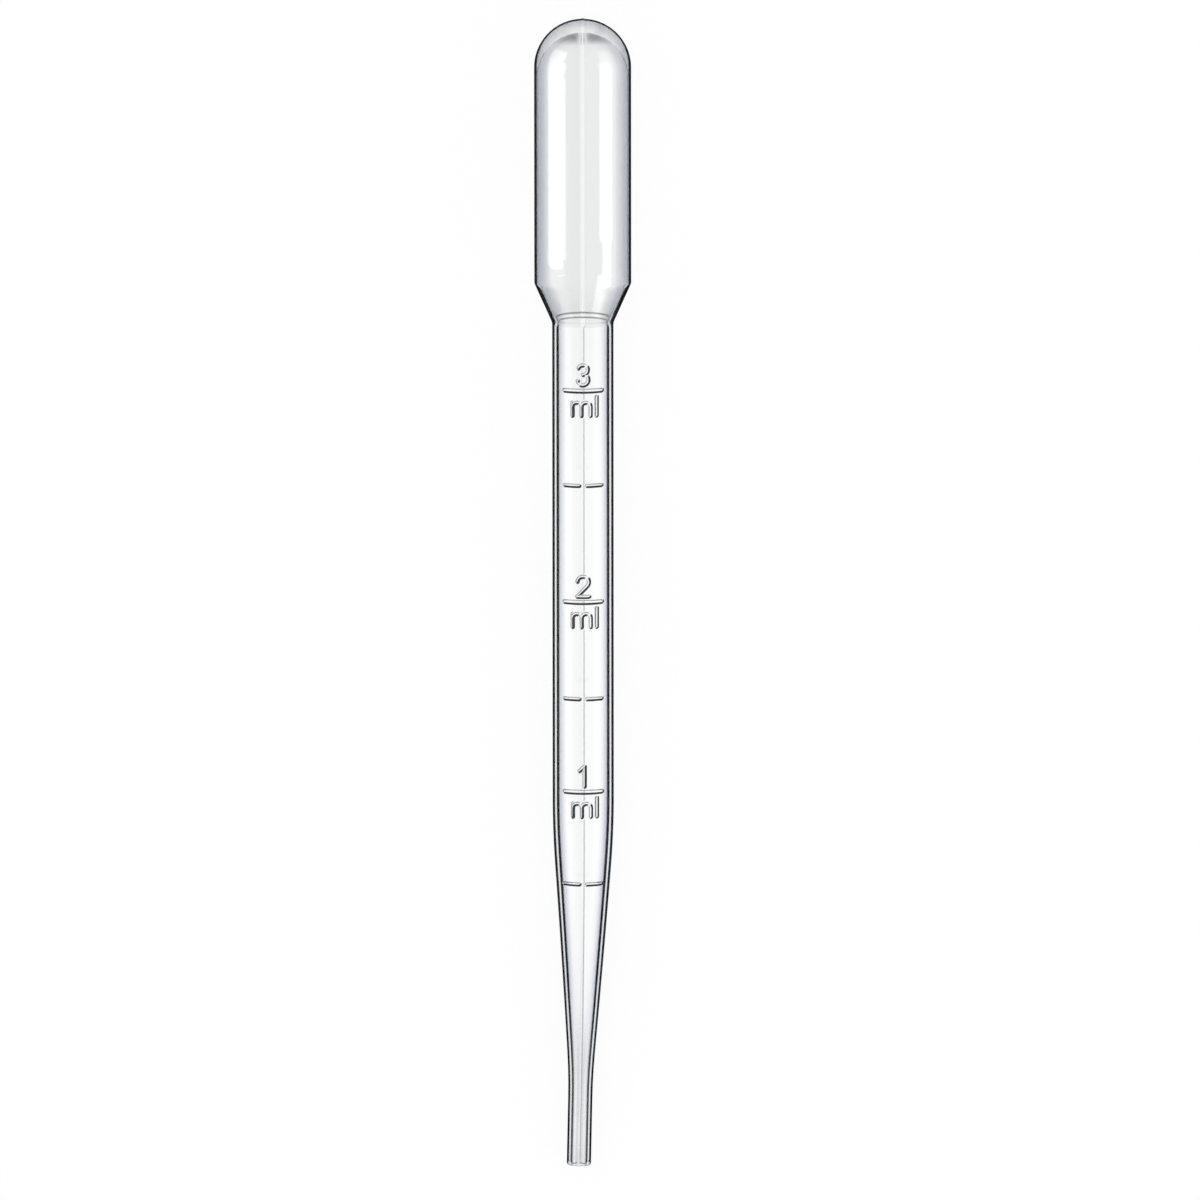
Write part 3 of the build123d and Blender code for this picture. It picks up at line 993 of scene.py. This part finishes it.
@dataclass(frozen=True)
class Strip:
    """A bright strip beside the bulb that only the plastic mirrors and shows.

    It lies along the bulb's axis, between two directions off it.
    """

    name: str
    side: float  # 1 at the right, -1 at the left
    edges: Pair  # degrees off the vertical of its upper and lower edges
    span: Pair  # its ends along the pipette, in metres
    away: float = 0.05
    radiance: float = 2.8

    def build(self, lean: float) -> bpy.types.Object:
        """Make the strip as an area lamp whose face looks at the bulb's axis.

        Args:
            lean: angle between the pipette's axis and the floor, in radians.

        Returns:
            The lamp.
        """
        low, high = (Vector((self.side * sin(angle), 0.0, cos(angle))) * self.away
                     for angle in map(radians, self.edges))
        middle, across = (low + high) / 2, high - low
        data = bpy.data.lights.new(self.name, "AREA")
        data.shape, data.size, data.size_y = "RECTANGLE", across.length, self.span[1] - self.span[0]
        data.energy = self.radiance * pi * data.size * data.size_y
        made = add_object(self.name, data)
        width, along = across.normalized() * self.side, Vector((0.0, 1.0, 0.0))
        turn = Matrix((width, along, width.cross(along))).transposed().to_4x4()
        place = Vector((middle.x, sum(self.span) / 2, middle.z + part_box(NODE)[1].z / 2))
        made.matrix_world = Matrix.Translation(place) @ Matrix.Rotation(lean, 4, "X") @ turn
        made.visible_camera = made.visible_diffuse = False
        return made


@dataclass(frozen=True)
class Surroundings:
    """What the plastic mirrors and shows through itself, by direction; all else sees plain white.

    Above are a pale ceiling and a long bright panel on each side. Below, the plastic shows plain
    white through itself and mirrors a dark ground, so that its edges stand out.
    """

    fill: float = 0.85  # light on matt surfaces
    ceiling: float = 0.80
    ground: float = 0.02
    panel: float = 1.15
    panel_edge: Pair = (0.71, 0.73)  # sine of a panel's upper edge off the vertical
    horizon: Pair = (0.02, 0.06)  # sine of the height at which all that begins

    def build(self, world: bpy.types.World) -> None:
        """Write the directional surroundings into a world.

        Args:
            world: the world to fill.
        """
        world.use_nodes = True
        graph = Graph(world.node_tree)
        towards = graph.node("SeparateXYZ", {0: graph.node("TexCoord").outputs["Generated"]})
        across = graph.math("ABSOLUTE", towards.outputs["X"])
        above = graph.rise(across, *self.panel_edge, self.ceiling, self.panel)
        path = graph.node("LightPath")
        below = graph.blend(path.outputs["Is Transmission Ray"], self.ground, 1.0)
        seen = graph.blend(graph.rise(towards.outputs["Z"], *self.horizon), below, above)
        through = graph.math("MAXIMUM", path.outputs["Is Glossy Ray"], path.outputs["Is Transmission Ray"])
        plain = graph.blend(path.outputs["Is Camera Ray"], self.fill, 1.0)
        strength = graph.blend(through, plain, seen)
        graph.finish(graph.node("Background", {"Color": (1, 1, 1, 1), "Strength": strength}), "OutputWorld")


@dataclass(frozen=True)
class Lamp:
    """A soft area lamp that lights matt surfaces only."""

    name: str
    place: Triple
    size: float
    power: float

    def build(self) -> bpy.types.Object:
        """Make the lamp, pointed at the origin.

        Returns:
            The lamp.
        """
        data = bpy.data.lights.new(self.name, "AREA")
        data.shape, data.size, data.energy = "DISK", self.size, self.power
        made = add_object(self.name, data)
        made.location = self.place
        made.rotation_euler = (-Vector(self.place)).to_track_quat("-Z", "Y").to_euler()
        made.visible_glossy = made.visible_transmission = made.visible_camera = False
        return made


@dataclass
class Studio:
    """Floor, light and camera."""

    floor_size: float = 4.0
    distance: float = 4.0  # from the camera to the pipette
    tilt: float = 8.1  # degrees off the vertical, towards the bulb
    roll: float = -0.044  # degrees
    frame_width: float = 0.15994  # width of the picture at the pipette
    aim: Pair = (0.00226, -0.00060)  # point under the picture's middle, beside and along the axis
    clips: Pair = (0.01, 10.0)
    lamps: tuple[Lamp, ...] = (Lamp("key", (-0.5, 0.3, 0.9), 0.8, 2.3),
                               Lamp("fill", (0.7, -0.4, 0.8), 0.9, 1.6))
    strips: tuple[Strip, ...] = (Strip("left_strip", -1.0, (45.5, 87.0), (0.0372, 0.106)),
                                 Strip("right_strip", 1.0, (47.0, 68.5), (0.0342, 0.0614)))

    def lay_floor(self) -> None:
        """Make the floor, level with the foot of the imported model's box."""
        half = self.floor_size / 2
        low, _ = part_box(NODE)
        mesh = bpy.data.meshes.new("floor")
        corners = [(x, y, low.z) for x, y in ((-half, -half), (half, -half), (half, half), (-half, half))]
        mesh.from_pydata(corners, [], [(0, 1, 2, 3)])
        mesh.materials.append(PaleFloor().material())
        add_object("floor", mesh)

    def set_camera(self) -> None:
        """Make the camera, above the pipette and a little past the bulb's side of its middle."""
        low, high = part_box(NODE)
        lean = radians(self.tilt)
        back = Vector((0.0, sin(lean), cos(lean)))
        target = Vector((self.aim[0], self.aim[1], (low.z + high.z) / 2))
        data = bpy.data.cameras.new("camera")
        data.lens = data.sensor_width * self.distance / self.frame_width
        made = add_object("camera", data)
        turn = Matrix.Rotation(-lean, 4, "X") @ Matrix.Rotation(radians(self.roll), 4, "Z")
        made.matrix_world = Matrix.Translation(target + back * self.distance) @ turn
        data.clip_start, data.clip_end = self.clips
        bpy.context.scene.camera = made


def main() -> None:
    """Build the pipette, its surroundings and the camera."""
    logging.basicConfig(level=logging.INFO, format="%(message)s")
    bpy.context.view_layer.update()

    body = Body()
    pipette = body.build()
    pipette.data.materials.append(ClearPlastic().material())
    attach(pipette, "root")
    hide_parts(NODE)
    pipette.data.calc_loop_triangles()
    log.info("%s: %d triangles, laid at %.3f degrees", pipette.name, len(pipette.data.loop_triangles),
             np.degrees(body.lay_angle()))

    studio = Studio()
    studio.lay_floor()
    for lamp in studio.lamps:
        log.info("lamp %s", lamp.build().name)
    for strip in studio.strips:
        log.info("strip %s", strip.build(body.lay_angle()).name)
    world = bpy.data.worlds.new("studio")
    bpy.context.scene.world = world
    Surroundings().build(world)
    studio.set_camera()
    bpy.context.scene.view_settings.view_transform = "Standard"


if __name__ == "__main__":
    main()
